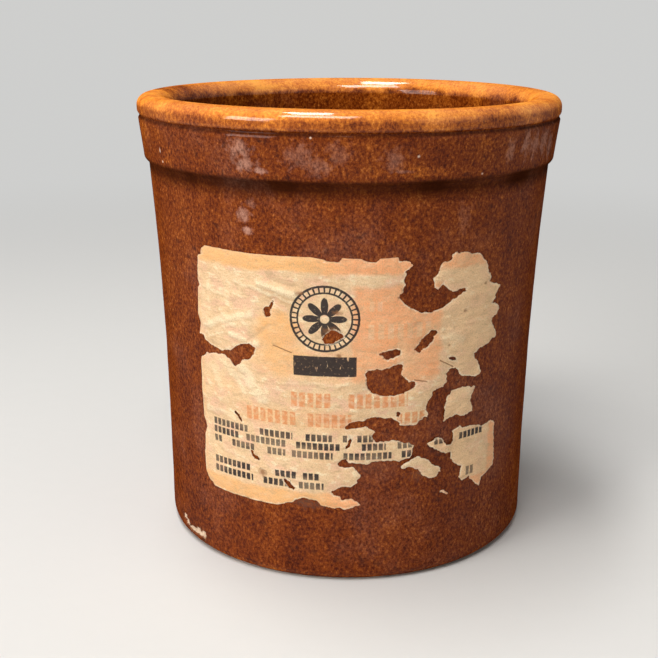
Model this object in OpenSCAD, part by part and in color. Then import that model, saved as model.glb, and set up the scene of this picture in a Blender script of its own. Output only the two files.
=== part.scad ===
// Stoneware food crock: one thrown body, its fused glaze, and what is left of a glued paper label.
// The origin is at the centre of the foot, +Z is up, and the label faces -Y.

/* [Body] */
// Height from the foot to the top of the rim
crock_h = 127; // [90:1:180]
// Outside radius of the body just above the heel
foot_r = 54.2; // [40:0.1:75]
// How much wider the body is under the collar than at the heel
flare = 3.2; // [0:0.1:6]
// How late the body widens: 1 is a straight taper, more is later
flare_power = 2.5; // [1:0.1:4]
// Rounding between the foot and the body
heel_round = 3.2; // [2:0.1:5]
// Thickness of the wall
wall = 6.6; // [5:0.1:9]

/* [Collar] */
// Height of the collar and the rim bead together
collar_h = 16.4; // [12:0.1:24]
// How far the collar's lower edge stands out from the body
collar_out = 1.4; // [0.8:0.1:3]
// How much wider the collar is at its top than at its lower edge
collar_lean = 1.2; // [0:0.1:2.5]
// Rounding of the collar's lower edge
collar_round = 1.7; // [1:0.1:1.7]
// Slope of the collar's underside, from the vertical
collar_slope = 50; // [45:1:70]

/* [Rim] */
// Height of the bead round the rim
bead_h = 5.5; // [5:0.1:7.5]
// How far the bead stands out from the collar
bead_out = 0.25; // [0:0.05:1.5]
// Rounding of the bead's upper edge
bead_round = 3; // [1.5:0.1:3.2]
// Rounding of the bead's lower edge
bead_under = 1.5; // [0.8:0.1:1.6]
// Depth of the groove between the bead and the collar
groove_d = 0.5; // [0.2:0.1:0.8]
// Rounding of the rim towards the mouth
lip_round = 4.5; // [1.5:0.1:5]

/* [Inside] */
// Length of the straight, round mouth below the lip
mouth_len = 17; // [8:1:30]
// Height of the inside floor above the foot
floor_h = 7.5; // [5:0.1:12]
// Rounding between the inside wall and the floor
floor_round = 9; // [4:0.5:16]

/* [Foot] */
// Width of the flat ring that the crock stands on
foot_ring_w = 7; // [4:0.5:12]
// Depth of the hollow inside the foot ring
foot_hollow = 1.2; // [0.5:0.1:2.5]

/* [Glaze] */
// Thickness of the glaze coat
glaze_t = 0.4; // [0.2:0.05:0.6]
// How much thicker the glaze has run at the foot of the mouth than at the lip, as a share
glaze_run = 0.25; // [0.1:0.05:1]
// How far round the heel the glaze reaches, where 90 would be under the foot
glaze_reach = 60; // [30:1:75]

/* [Label] */
// Length of the whole label round the body
label_w = 92; // [60:1:110]
// Bare body between the foot and the label
label_below = 21.5; // [15:0.5:35]
// Bare body between the label and the collar's lower edge
label_above = 19.6; // [12:0.1:30]
// Thickness of the paper with its glue
paper_t = 0.2; // [0.1:0.05:0.4]

/* [Hidden] */
$fn = 96;

// Radii up the outside, each from the one below it
neck_r = foot_r + flare;
collar_low_r = neck_r + collar_out;
collar_top_r = collar_low_r + collar_lean;
bead_r = collar_top_r + bead_out;

// Heights of the outside
collar_z = crock_h - collar_h;
groove_z = crock_h - bead_h;
groove_half_w = 0.9;
bead_slope = 60;

// The collar's rounded edge and the hollow below it meet at the underside's slope
cove_r = collar_out / (1 - cos(collar_slope)) - collar_round;
neck_z = collar_z - (collar_round + cove_r) * sin(collar_slope);

// The inside: a straight mouth, then a taper to the floor
mouth_r = neck_r - wall;
mouth_low_z = crock_h - lip_round - mouth_len;
floor_r = foot_r - wall;

// The foot
foot_out_r = foot_r - heel_round;
foot_in_r = foot_out_r - foot_ring_w;

// The wall is a gentle curve, drawn as this many cones
wall_steps = 8;
arc_steps = 6;

function wall_r(z) = foot_r + flare * pow((z - heel_round) / (neck_z - heel_round), flare_power);
function wall_z(i) = heel_round + (neck_z - heel_round) * i / wall_steps;
function arc(cx, cz, r, from, to) = [for (i = [0:arc_steps])
    [cx + r * cos(from + (to - from) * i / arc_steps), cz + r * sin(from + (to - from) * i / arc_steps)]];

// The glazed outline from the heel, over the rim, to the middle of the floor, drawn g inside its surface
function outline(g) = concat(
    arc(foot_out_r, heel_round, heel_round - g, -glaze_reach, 0),
    [for (i = [1:wall_steps - 1]) [wall_r(wall_z(i)) - g, wall_z(i)]],
    arc(neck_r + cove_r, neck_z, cove_r + g, 180, 180 - collar_slope),
    arc(collar_low_r - collar_round, collar_z, collar_round - g, -collar_slope, 0),
    [[collar_top_r - g, groove_z - groove_half_w], [collar_top_r - groove_d - g, groove_z]],
    arc(bead_r - bead_under, groove_z + bead_under, bead_under - g, -bead_slope, 0),
    arc(bead_r - bead_round, crock_h - bead_round, bead_round - g, 0, 90),
    arc(mouth_r + lip_round, crock_h - lip_round, lip_round - g, 90, 180),
    [[mouth_r + g * (1 + glaze_run), mouth_low_z]],
    arc(floor_r - floor_round, floor_h + floor_round, floor_round + g, 0, -90),
    [[0, floor_h - g]]);

function reversed(p) = [for (i = [len(p) - 1:-1:0]) p[i]];

// The label's pieces are drawn on a sheet of this size: distance round the body, then height.
// They follow the label when its own size changes.
sheet_w = 92;
sheet_low = 21.5;
sheet_top = 91;
label_top = collar_z - label_above;
label_mid_r = wall_r((label_below + label_top) / 2);

function on_body_z(z) = label_below + (z - sheet_low) * (label_top - label_below) / (sheet_top - sheet_low);
function on_body(p) = let (z = on_body_z(p[1]))
    [wall_r(z) * sin(p[0] * label_w / sheet_w / label_mid_r * 180 / PI), z];
function wrapped(points) = [for (p = points) on_body(p)];

// Edge of the largest piece, clockwise from its upper left corner
main_edge = [
    [-40.5, 91], [-25, 90.8], [-10, 91], [-6.5, 90.5], [-5, 89.8], [-2.8, 90], [-2.2, 91],
    [2.5, 90.8], [3.8, 90], [6.2, 90], [7, 90.8], [11.5, 91], [11.8, 90], [14.5, 89.8],
    [15, 89], [14.2, 87.8], [13.2, 87.2], [13.8, 86.5], [13, 85], [13.5, 83.8], [13.2, 82],
    [12, 80.8], [13.2, 78.8], [16, 77], [19, 76], [21.2, 76], [23, 76.5], [25.5, 77.5],
    [28, 79], [31, 80.2], [31, 81], [30.5, 81.3], [27, 80.5], [25.5, 81.5], [23.8, 83.2],
    [22.5, 81.8], [21.5, 82.2], [21, 85], [22, 85.8], [23.5, 89], [25.8, 89.2], [26, 90.5],
    [27, 91], [31, 91], [32.2, 90.2], [34.8, 90], [37, 87.8], [38, 86.2], [38, 84.8],
    [39.8, 83.2], [39.2, 82], [40.2, 81], [43.5, 80.2], [42.2, 78.2], [42, 77], [41.2, 75.5],
    [43.8, 74.5], [44, 73.2], [43, 72], [41.5, 71.2], [41.2, 70.2], [43.5, 67], [43.5, 65.8],
    [40.5, 64.2], [37.5, 63.8], [35.8, 62.5], [35.5, 61.5], [36.5, 60.8], [37.2, 59],
    [37.8, 57], [37.5, 56], [36, 55.8], [33, 56.5], [30.8, 57.2], [30.2, 58.5], [29, 59.5],
    [27.8, 59.5], [26.5, 58.2], [26.5, 56], [25.5, 54.5], [22.8, 54], [22, 51.8], [21, 51.2],
    [20.5, 49.8], [21.5, 47.5], [21.2, 46.8], [20, 46.8], [18, 45], [14.5, 45], [13.5, 45.3],
    [12.5, 46.8], [11, 47.8], [9.5, 47.5], [6.5, 48.2], [3, 47.2], [0.5, 46.8], [-0.8, 46],
    [-1.5, 45], [-1, 44.5], [2, 45.2], [4, 45.8], [6, 44.8], [6.5, 44], [6, 42.5], [7, 41.2],
    [12, 41.2], [14, 40.5], [16.5, 39.8], [17.5, 39], [17.2, 37.5], [16.5, 36], [13.5, 35],
    [12, 35.5], [6.5, 35.5], [4.5, 34.8], [0, 35.5], [-1.2, 36.5], [-2, 36.2], [-3, 35],
    [-2.5, 34.2], [-1.2, 34], [1, 34.2], [2, 33], [3, 31.5], [1.5, 29], [0.2, 28.2],
    [-2, 28.5], [-4.8, 26.8], [-4.2, 26], [-2.5, 25.5], [-1.5, 24.5], [0.5, 25], [3.2, 23.2],
    [-0.2, 22], [-4, 22], [-8, 22.8], [-8.8, 24], [-12.5, 24.5], [-14.2, 24.2], [-15, 23],
    [-18.5, 22], [-20, 21.5], [-37, 21.7], [-41.5, 22], [-43.2, 23.2], [-44.8, 25.5],
    [-45, 31.5], [-44.5, 36.5], [-43.5, 39.2], [-44.8, 42], [-45, 50], [-45, 58],
    [-44.5, 59.5], [-42.5, 60.8], [-38.5, 61.8], [-36.2, 62], [-34, 61.2], [-31.8, 59.2],
    [-29.5, 61.5], [-27.5, 62.2], [-25.8, 63.5], [-25.2, 65.5], [-26.5, 66.5], [-29, 66],
    [-31, 65.2], [-33.5, 63.5], [-36.5, 62.8], [-40.8, 63.8], [-41.8, 64.5], [-42.8, 66.2],
    [-44, 66.2], [-44, 69.2], [-45, 71.5], [-44.2, 79.2], [-43.2, 79.8], [-44, 81.5],
    [-43.5, 87.8], [-41.8, 88.8], [-41.5, 90.2]];

// Holes worn through the largest piece
main_holes = [
    [[-22.6, 76.5], [-21.8, 77.3], [-21, 77.3], [-19.6, 79.3], [-20.6, 76.5], [-20.8, 74.8],
        [-22, 74.3], [-22.5, 75.3]],
    [[-33.1, 46.2], [-32.3, 46.5], [-31.2, 46.1], [-30.6, 45.1], [-30.4, 43.8], [-31.8, 45.5]],
    [[-27.6, 36], [-26.4, 34.9], [-25, 34.2], [-25.2, 33.6], [-26.4, 33.7], [-27.8, 35.2]],
    [[-17.9, 29.3], [-17.3, 29.5], [-15.6, 28.2], [-14.2, 27.2], [-15, 26.7], [-16.4, 26.9],
        [-17.6, 28.5]],
    [[-7.3, 69.5], [-6.3, 70.8], [-4.8, 71.9], [-3.4, 72], [-2.2, 71.3], [-2, 70.2],
        [-4.2, 68.6], [-6.6, 68.4]],
    [[12.2, 49.1], [12.7, 49.3], [13.2, 48.8], [12.9, 47.9], [12.3, 48]],
    [[7.1, 65.5], [9.5, 66.4], [11.5, 66.5], [12.8, 66.2], [13, 65.5], [12.4, 64.8],
        [9.6, 64], [8.8, 64.4]],
    [[16.2, 66.2], [18, 67.6], [18.6, 68.8], [21.4, 70.7], [22.4, 70.8], [23.4, 70.2],
        [21.7, 69.3], [21.9, 68.2], [20.2, 66.6], [18, 65.2], [17.1, 65.6]],
    [[26.7, 62.8], [28, 62.8], [29.2, 62.1], [29.5, 61.5], [28.4, 61.5], [27.3, 62.2]],
    [[4, 60.5], [4.3, 61.2], [8, 61.3], [11, 62], [12.2, 62.7], [13.4, 62.7], [14, 62],
        [13.2, 59.6], [15.4, 57.2], [16.8, 57.3], [17.7, 56.8], [17.2, 55.8], [15.8, 54.9],
        [12, 54], [7.8, 54.1], [5.9, 55], [4.4, 56.3]],
    [[0.2, 42.7], [0.6, 41.8], [0, 40.4], [-0.8, 39], [-1.3, 38.8], [-1.2, 39.8], [-0.3, 41.2]]];

// Edges of the loose scraps
side_edge = [[27.8, 52.5], [28, 53.2], [30, 53.4], [32.2, 53.8], [34, 53.4], [36.8, 52.8],
    [36, 51.5], [35.2, 49.5], [35.8, 47.5], [36, 45.8], [32, 45.2], [30.2, 46], [28.5, 45.5],
    [26.2, 45], [26, 47.5], [26.4, 49.5], [27, 51.5]];
corner_edge = [[21.2, 39.2], [22, 39.8], [24, 40.5], [26, 40.2], [26.3, 39.3], [27, 38.2],
    [28.6, 38], [29.5, 38.8], [29.2, 41.5], [31, 42], [31.8, 42.5], [33, 41.8], [37, 41.6],
    [41, 40.5], [44.2, 41], [45.5, 40.2], [46.2, 34], [46.8, 29], [46, 26.8], [44, 25.5],
    [41.5, 24.8], [40.5, 23.8], [39.8, 22.8], [38.8, 23.5], [37.5, 24.8], [36, 26.5],
    [33.2, 25.8], [32.5, 27], [32.5, 29], [33, 30.2], [30, 32.2], [29.2, 33.5], [28.8, 35.5],
    [26, 36], [24.5, 36.8]];
lower_edge = [[13.9, 33], [14.6, 34.2], [15.8, 35], [19, 35.8], [20.5, 35.2], [22, 34.5],
    [23, 33.2], [25.8, 31.5], [25.8, 30.5], [24, 29], [22.5, 29], [20.5, 30], [18.8, 32],
    [17.5, 32.8], [16, 33]];
fleck_edge = [[26.2, 24.2], [26.8, 24.6], [28, 24.1], [29, 23], [28, 23.4], [26.8, 23.9]];

// A turned solid from its half outline
module turned(points) {
    rotate_extrude() polygon(points);
}

// A thin skin of paper all round the body's wall, standing on the glaze
module paper_skin() {
    inner = [for (i = [0:wall_steps]) [wall_r(wall_z(i)), wall_z(i)]];
    outer = [for (p = inner) [p[0] + paper_t, p[1]]];
    turned(concat(outer, reversed(inner)));
}

// One piece of the label: the skin cut to an edge, with its holes
module label_piece(edge, holes = []) {
    reach = neck_r + 2 * paper_t;
    intersection() {
        paper_skin();
        rotate([90, 0, 0]) linear_extrude(height = reach) difference() {
            polygon(wrapped(edge));
            for (hole = holes) polygon(wrapped(hole));
        }
    }
}

module clay_body() {
    foot = [[0, foot_hollow], [foot_in_r - foot_hollow, foot_hollow], [foot_in_r, 0],
        [foot_out_r, 0]];
    color("tan") turned(concat(foot, outline(glaze_t)));
}

module glaze_coat() {
    color("saddlebrown") turned(concat(outline(0), reversed(outline(glaze_t))));
}

module label_main() {
    color("bisque") label_piece(main_edge, main_holes);
}

module label_side_scrap() {
    color("bisque") label_piece(side_edge);
}

module label_corner_scrap() {
    color("bisque") label_piece(corner_edge);
}

module label_lower_scrap() {
    color("bisque") label_piece(lower_edge);
}

module label_fleck() {
    color("bisque") label_piece(fleck_edge);
}

clay_body();
glaze_coat();
label_main();
label_side_scrap();
label_corner_scrap();
label_lower_scrap();
label_fleck();
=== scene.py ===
import math
import bpy
import numpy as np
from mathutils import Euler, Matrix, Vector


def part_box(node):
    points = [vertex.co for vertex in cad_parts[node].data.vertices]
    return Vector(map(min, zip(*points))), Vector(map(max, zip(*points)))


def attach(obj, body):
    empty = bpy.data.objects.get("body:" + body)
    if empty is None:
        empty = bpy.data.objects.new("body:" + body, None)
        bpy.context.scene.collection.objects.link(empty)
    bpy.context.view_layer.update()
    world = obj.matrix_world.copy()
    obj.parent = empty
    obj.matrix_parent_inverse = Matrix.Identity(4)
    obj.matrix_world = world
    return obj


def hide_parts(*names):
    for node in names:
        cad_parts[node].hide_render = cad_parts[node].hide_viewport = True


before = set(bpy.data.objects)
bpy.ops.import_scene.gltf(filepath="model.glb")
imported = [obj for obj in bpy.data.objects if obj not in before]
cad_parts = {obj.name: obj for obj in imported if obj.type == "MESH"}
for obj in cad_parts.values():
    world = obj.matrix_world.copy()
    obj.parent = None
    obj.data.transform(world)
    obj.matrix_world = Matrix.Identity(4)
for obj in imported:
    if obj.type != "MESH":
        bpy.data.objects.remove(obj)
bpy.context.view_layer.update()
mm = 0.001
tau = 2 * math.pi
print("frame: loaded")


def latticeNoise(u, v, seed, wrap=256):
    # random values from -1 to 1 on a unit lattice, blended with 3t^2 - 2t^3; u repeats every wrap cells
    lattice = np.random.default_rng(seed).uniform(-1, 1, (wrap, 256))
    iu, iv = np.floor(u).astype(int), np.floor(v).astype(int)
    fu, fv = u - iu, v - iv
    fu, fv = fu * fu * (3 - 2 * fu), fv * fv * (3 - 2 * fv)
    low = lattice[iu % wrap, iv % 256] * (1 - fu) + lattice[(iu + 1) % wrap, iv % 256] * fu
    high = lattice[iu % wrap, (iv + 1) % 256] * (1 - fu) + lattice[(iu + 1) % wrap, (iv + 1) % 256] * fu
    return low * (1 - fv) + high * fv


def roughNoise(u, v, seed, wrap=256, octaves=3):
    # lattice noise added to itself at twice the rate and half the height, octaves times
    return sum(latticeNoise(u * 2 ** k, v * 2 ** k, seed + 7 * k, wrap * 2 ** k) / 2 ** k
               for k in range(octaves))


def smoothStep(low, high, x):
    # 3t^2 - 2t^3, where t is the share of the way from low to high
    t = np.clip((x - low) / (high - low), 0, 1)
    return t * t * (3 - 2 * t)


def bellAt(height, base, above, half):
    # exp(-d^2), where d is the distance from a level above base, counted in half; both in mm
    return np.exp(-((height - base - above * mm) / (half * mm)) ** 2)


def arcPoints(cx, cz, radius, start, stop, count):
    # count points of a circle from start to stop, in degrees
    a = np.radians(np.linspace(start, stop, count))
    return np.stack([cx + radius * np.cos(a), cz + radius * np.sin(a)], 1)


def meshObject(name, points, faces, smooth=True):
    mesh = bpy.data.meshes.new(name)
    mesh.from_pydata(points, [], faces)
    mesh.polygons.foreach_set("use_smooth", np.full(len(mesh.polygons), smooth))
    piece = bpy.data.objects.new(name, mesh)
    bpy.context.scene.collection.objects.link(piece)
    return piece


def addMask(piece, name, values):
    attribute = piece.data.attributes.new(name, "FLOAT", "POINT")
    attribute.data.foreach_set("value", np.asarray(values, np.float32))


def latheObject(name, radius, height, turns):
    # a closed form turned round the axis: radius and height are (turn, station) arrays whose first and
    # last stations lie on the axis. x = r sin a, y = -r cos a, so a is 0 at the front
    rows, stations = radius.shape
    inner = slice(1, stations - 1)
    x = radius[:, inner] * np.sin(turns)[:, None]
    y = -radius[:, inner] * np.cos(turns)[:, None]
    ring = np.stack([x, y, height[:, inner]], -1).reshape(-1, 3)
    poles = np.array([[0, 0, height[0, 0]], [0, 0, height[0, -1]]])
    points = np.concatenate([ring, poles])
    count = stations - 2
    i = np.arange(rows)[:, None]
    j = np.arange(count - 1)[None, :]
    nextI = (i + 1) % rows
    here, there = i * count + j, nextI * count + j
    quads = np.stack([here, there, there + 1, here + 1], -1).reshape(-1, 4)
    i, nextI = i[:, 0], nextI[:, 0]
    first = np.stack([np.full(rows, rows * count), nextI * count, i * count], 1)
    last = np.stack([np.full(rows, rows * count + 1), i * count + count - 1, nextI * count + count - 1], 1)
    r, z = radius[0], height[0]
    if np.sum(r[:-1] * z[1:] - r[1:] * z[:-1]) < 0:  # stations that run the other way round
        quads, first, last = quads[:, ::-1], first[:, ::-1], last[:, ::-1]
    return meshObject(name, points, quads.tolist() + first.tolist() + last.tolist())


def ringValues(values):
    # the same order as latheObject's points: inner stations, then the two poles
    return np.concatenate([values[:, 1:-1].reshape(-1), [values[0, 0], values[0, -1]]])


glazeLow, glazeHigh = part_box("glaze_coat")

crock = {
    "height": glazeHigh.z,
    "beadRadius": (glazeHigh.x - glazeLow.x) / 2,
    "wall": 6.6 * mm, "flare": 3.2 * mm, "flarePower": 2.5, "heelRound": 3.2 * mm,
    "collarHeight": 16.4 * mm, "collarOut": 1.4 * mm, "collarLean": 1.2 * mm,
    "collarRound": 1.7 * mm, "collarSlope": 50,
    "beadHeight": 5.5 * mm, "beadOut": 0.25 * mm, "beadRound": 3 * mm, "beadUnder": 1.5 * mm,
    "beadSlope": 60, "grooveDepth": 0.5 * mm, "grooveHalf": 0.9 * mm, "lipRound": 4.5 * mm,
    "mouthLength": 17 * mm, "floorHeight": 7.5 * mm, "floorRound": 9 * mm,
    "footRing": 7 * mm, "footHollow": 1.2 * mm,
    "glaze": 0.4 * mm, "glazeReach": 60,
    "oval": 0.12 * mm, "throwing": 0.035 * mm, "uneven": 0.06 * mm,  # how far from a true round
}
collarTopR = crock["beadRadius"] - crock["beadOut"]
collarLowR = collarTopR - crock["collarLean"]
neckR = collarLowR - crock["collarOut"]
footR = neckR - crock["flare"]
mouthR = neckR - crock["wall"]
floorR = footR - crock["wall"]
footOutR = footR - crock["heelRound"]
footInR = footOutR - crock["footRing"]
collarZ = crock["height"] - crock["collarHeight"]
grooveZ = crock["height"] - crock["beadHeight"]
coveR = crock["collarOut"] / (1 - math.cos(math.radians(crock["collarSlope"]))) - crock["collarRound"]
neckZ = collarZ - (crock["collarRound"] + coveR) * math.sin(math.radians(crock["collarSlope"]))


def wallRadius(z):
    # the body's outside: widens late, as a power of the height
    t = np.clip((z - crock["heelRound"]) / (neckZ - crock["heelRound"]), 0, 1)
    return footR + crock["flare"] * t ** crock["flarePower"]


def offRound(a, z):
    # how far the thrown surface stands off its true round: an oval, throwing lines and soft unevenness
    turn = a / tau + 0.5
    oval = 0.7 * np.cos(2 * a + 0.9) + 0.3 * np.cos(3 * a + 2.1)
    lines = latticeNoise(turn * 5, z / (3.2 * mm), 31, 5)
    lumps = roughNoise(turn * 22, z / (14 * mm), 57, 22)
    return crock["oval"] * oval + crock["throwing"] * lines + crock["uneven"] * lumps


def outlineStations(inset, fine):
    # the glazed outline from the heel, over the rim, to the middle of the floor, drawn inset under its
    # surface; the seen outline is fine, with more stations than the hidden one
    c, g = crock, inset
    beadR = collarTopR + c["beadOut"]
    n = lambda few, many: many if fine else few
    wallT = np.linspace(0, 1, n(18, 46))[1:-1] ** n(1.5, 1.6)
    wallZ = c["heelRound"] + (neckZ - c["heelRound"]) * wallT
    wall = np.stack([wallRadius(wallZ) - g, wallZ], 1)
    collarEdge = arcPoints(collarLowR - c["collarRound"], collarZ, c["collarRound"] - g,
                           -c["collarSlope"], 0, n(3, 8))
    grooveLow = np.array([collarTopR - g, grooveZ - c["grooveHalf"]])
    t = np.linspace(0, 1, n(3, 12))[1:-1, None]
    collar = collarEdge[-1] * (1 - t) + grooveLow * t
    groove = np.array([grooveLow,
                       [collarTopR - c["grooveDepth"] * 0.55 - g, grooveZ - c["grooveHalf"] * 0.42],
                       [collarTopR - c["grooveDepth"] - g, grooveZ]])
    beadLow = arcPoints(beadR - c["beadUnder"], grooveZ + c["beadUnder"], c["beadUnder"] - g,
                        -c["beadSlope"], 0, n(3, 8))
    beadTop = arcPoints(beadR - c["beadRound"], c["height"] - c["beadRound"], c["beadRound"] - g,
                        0, 90, n(4, 12))
    lip = arcPoints(mouthR + c["lipRound"], c["height"] - c["lipRound"], c["lipRound"] - g, 90, 180, n(5, 14))
    floorTurn = arcPoints(floorR - c["floorRound"], c["floorHeight"] + c["floorRound"], c["floorRound"] + g,
                          0, -90, n(5, 12))
    mouthLow = np.array([mouthR + g, c["height"] - c["lipRound"] - c["mouthLength"]])
    t = np.linspace(0, 1, n(2, 8))[1:, None]
    mouth = lip[-1] * (1 - t) + mouthLow * t
    t = np.linspace(0, 1, n(5, 22))[1:-1, None]
    taper = mouthLow * (1 - t) + floorTurn[0] * t
    t = np.linspace(0, 1, n(3, 12))[1:, None]
    floor = floorTurn[-1] * (1 - t) + np.array([0, c["floorHeight"] - g]) * t
    heel = arcPoints(footOutR, c["heelRound"], c["heelRound"] - g, -c["glazeReach"], 0, n(12, 14))
    cove = arcPoints(neckR + coveR, neckZ, coveR + g, 180, 180 - c["collarSlope"], n(4, 10))
    return np.concatenate([heel, wall, cove, collarEdge, collar, groove, beadLow, beadTop,
                           lip, mouth, taper, floorTurn, floor])


# fine stations of the outline from the heel to the top of the bead, part by part
heelStations = 14
heelToRim = heelStations + 44 + 10 + 8 + 10 + 3 + 8 + 12

# chips knocked out of the heel: angle from the front, height, half width, half height, tilt
chips = {
    "places": [(-61.6, 4.7, 3.1, 1.0, -28), (-55.4, 3.5, 2.8, 1.1, 4), (-52.6, 3.8, 1.8, 1.2, 10),
               (-50.6, 4.2, 1.6, 1.5, 0), (121.0, 4.6, 1.6, 1.0, 12), (166.0, 4.4, 0.9, 0.7, 0)],
    "below": 14 * mm, "pit": 0.45 * mm,
    "clear": 0.3 * mm,  # how far the glaze is taken under the clay in a chip
    "ragged": 0.42,
}


def chipShape(a, z):
    # 1 inside a chip, 0 outside: a tilted ellipse whose edge is broken by noise
    reach = np.full(np.broadcast(a, z).shape, -1.0)
    turn = a / tau + 0.5
    ragged = roughNoise(turn * 340, z / (1.1 * mm), 91, 340)
    for degrees, level, halfWidth, halfHeight, tilt in chips["places"]:
        s = (np.mod(a - math.radians(degrees) + math.pi, tau) - math.pi) * footR / mm
        h = z / mm - level
        c, q = math.cos(math.radians(tilt)), math.sin(math.radians(tilt))
        reach = np.maximum(reach, 1 - np.hypot((s * c + h * q) / halfWidth, (h * c - s * q) / halfHeight))
    return reach + chips["ragged"] * ragged * (reach > -0.8)


def turnAngles():
    # stations round the axis, three times closer together at the chips on the front
    a = np.linspace(-math.pi, math.pi, 4001)
    density = 1 + 2.6 * (smoothStep(math.radians(-68), math.radians(-64), a)
                         - smoothStep(math.radians(-47), math.radians(-43), a))
    total = np.concatenate([[0], np.cumsum((density[1:] + density[:-1]) / 2)])
    return np.interp(np.linspace(0, total[-1], 425)[:-1], total, a)


# where the glaze is thin, and where it pools with painted shade in the groove and under the collar: shares
# from 0 to 1, heights in mm
glazeFlow = {
    "rim": 0.50, "rimRise": (-0.1, 1.1),            # thin over the bead, from the groove up
    "collarEdge": 0.10, "collarEdgeAt": (0.6, 0.8),
    "foot": 0.30, "footAt": (1.6, 1.1),
    "crestInside": (5.6, 2.4), "crestOutside": (4.6, 0.5),  # reach down from the top, and what drips add
    "crestTop": 0.9,
    "trickle": 0.22, "trickleReach": (17, 5), "trickleTop": 3, "trickleDrip": 0.5,
    "patches": 0.26, "patchRise": (0.0, 0.8),
    "groove": 0.80, "grooveAt": (-0.25, 0.50),      # pooled glaze and painted shade
    "underRise": (-1.9, 0.1), "underFall": (-1.0, 0.4),
    "fineWave": 0.22, "broadWave": 0.34,
    "brokenAt": 0.07, "brokenHalf": 0.16,
}


def turnNoise(a, times, other, seed, noise=roughNoise):
    # noise round the axis that closes on itself, with times lattice cells to a turn
    return noise((a / tau + 0.5) * times, a * 0 + other, seed, times)


def addGlazeMasks(glaze, path, a, z, chip, within):
    # where the glaze ran thin over an edge, where it pooled in a hollow with painted shade laid there, and
    # where it is broken
    f = glazeFlow
    top = crock["height"]
    pathR, pathZ = path[:, 0], path[:, 1]
    inward = pathR < mouthR + crock["lipRound"]
    outward = pathR > mouthR + 3 * mm
    ones = np.ones((len(a), 1))
    rise = [grooveZ + level * mm for level in f["rimRise"]]
    thin = f["rim"] * smoothStep(*rise, pathZ) * outward
    edge = f["collarEdge"] * bellAt(pathZ, collarZ, *f["collarEdgeAt"]) * (pathR > neckR + 0.6 * mm)
    foot = f["foot"] * bellAt(pathZ, 0, *f["footAt"]) * (pathR > footOutR)
    thin = np.maximum.reduce([thin, edge, foot])
    drip = 0.55 * turnNoise(a, 210, 2.2, 8, latticeNoise) + 0.6 * turnNoise(a, 60, 6.2, 9)
    (inReach, inDrip), (outReach, outDrip) = f["crestInside"], f["crestOutside"]
    crestLow = top - (np.where(inward, inReach, outReach) + np.where(inward, inDrip, outDrip) * drip) * mm
    crest = smoothStep(crestLow, top - f["crestTop"] * mm, pathZ[None, :])
    # a slower fade further down inside, in runs
    reach, swing = f["trickleReach"]
    fade = smoothStep(top - (reach + swing * drip) * mm, top - f["trickleTop"] * mm, pathZ[None, :])
    trickle = f["trickle"] * fade * inward * (1 + f["trickleDrip"] * drip)
    onCollar = (pathZ > collarZ) & (pathZ < grooveZ - 1 * mm) & (pathR > neckR)
    cloud = turnNoise(a, 18, z / (7 * mm), 12)
    patches = f["patches"] * smoothStep(*f["patchRise"], cloud) * onCollar[None, :]
    crest = np.maximum.reduce([crest, trickle, patches])

    # pooled glaze, darkened further as painted shade in the groove under the bead and in the cove under the
    # collar
    groove = f["groove"] * bellAt(pathZ, grooveZ, *f["grooveAt"]) * outward
    rise = smoothStep(*[neckZ + level * mm for level in f["underRise"]], pathZ)
    fall = 1 - smoothStep(*[collarZ + level * mm for level in f["underFall"]], pathZ)
    poolAndShade = np.maximum(groove, rise * fall * outward)

    wave = 1 + f["fineWave"] * turnNoise(a, 40, 1.7, 5) + f["broadWave"] * turnNoise(a, 14, 4.1, 6)
    thin = np.clip(np.maximum(ones * thin[None, :], crest) * wave, 0, 1)
    broken = np.clip(1 - np.abs(chip - f["brokenAt"]) / f["brokenHalf"], 0, 1) * (chip > -0.2)
    addMask(glaze, "thinGlaze", ringValues(thin))
    addMask(glaze, "pooledGlazeShade", ringValues(np.clip(ones * poolAndShade[None, :] * wave, 0, 1)))
    addMask(glaze, "withinCrock", ringValues(ones * within[None, :]))
    addMask(glaze, "brokenEdge", ringValues(broken))


def turnPath(path, turns):
    # radius and height of each station of a path, repeated for each turn
    return [np.repeat(path[None, :, k], len(turns), 0) for k in (0, 1)]


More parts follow.
